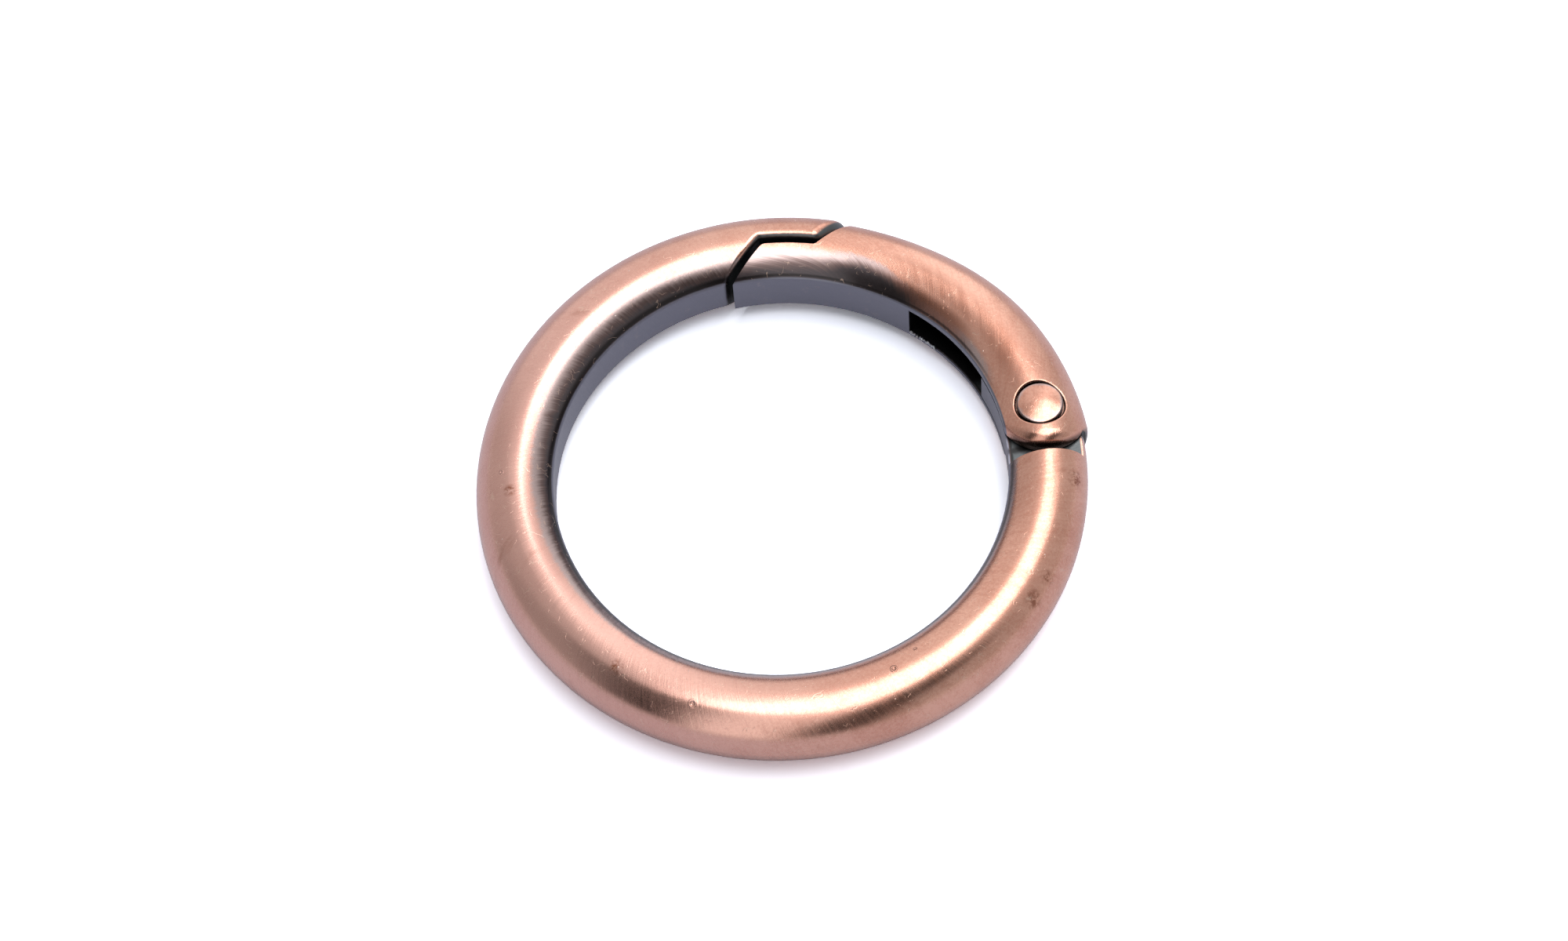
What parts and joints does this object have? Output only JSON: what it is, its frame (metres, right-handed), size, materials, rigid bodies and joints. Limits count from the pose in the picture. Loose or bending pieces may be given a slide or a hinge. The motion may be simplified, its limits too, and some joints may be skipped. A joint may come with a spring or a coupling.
{
  "type": "spring gate ring",
  "caption": "Round copper-coloured ring closed by a slotted gate that turns inwards on a rivet and springs shut against a stepped lap seam.",
  "frame": {"origin": "centre of the ring's round eye, at mid thickness", "axes": "+Z along the eye's axis; +X from the eye's centre through the hinge rivet; the ring lies flat in XY"},
  "size_m": [0.0345, 0.0342, 0.0048],
  "materials": {
    "antique_copper": "zinc alloy with brushed antique copper plating, darkened to gunmetal in the eye",
    "rivet_copper": "steel rivet under the same brushed copper plating",
    "spring_steel": "drawn spring wire"
  },
  "bodies": {
    "ring": {"ring_body": "antique_copper", "gate_spring": "spring_steel"},
    "gate": {"spring_gate": "antique_copper", "hinge_pin": "rivet_copper"}
  },
  "joints": [
    {"name": "gate_hinge", "type": "hinge", "parent": "ring", "child": "gate", "pos_m": [0.0149, 0, 0], "axis": [0, 0, 1], "range_deg": [0, 30], "stiffness_Nm_per_rad": 0.0117, "springref_deg": -57.87, "deforming": ["gate_spring"]}
  ]
}
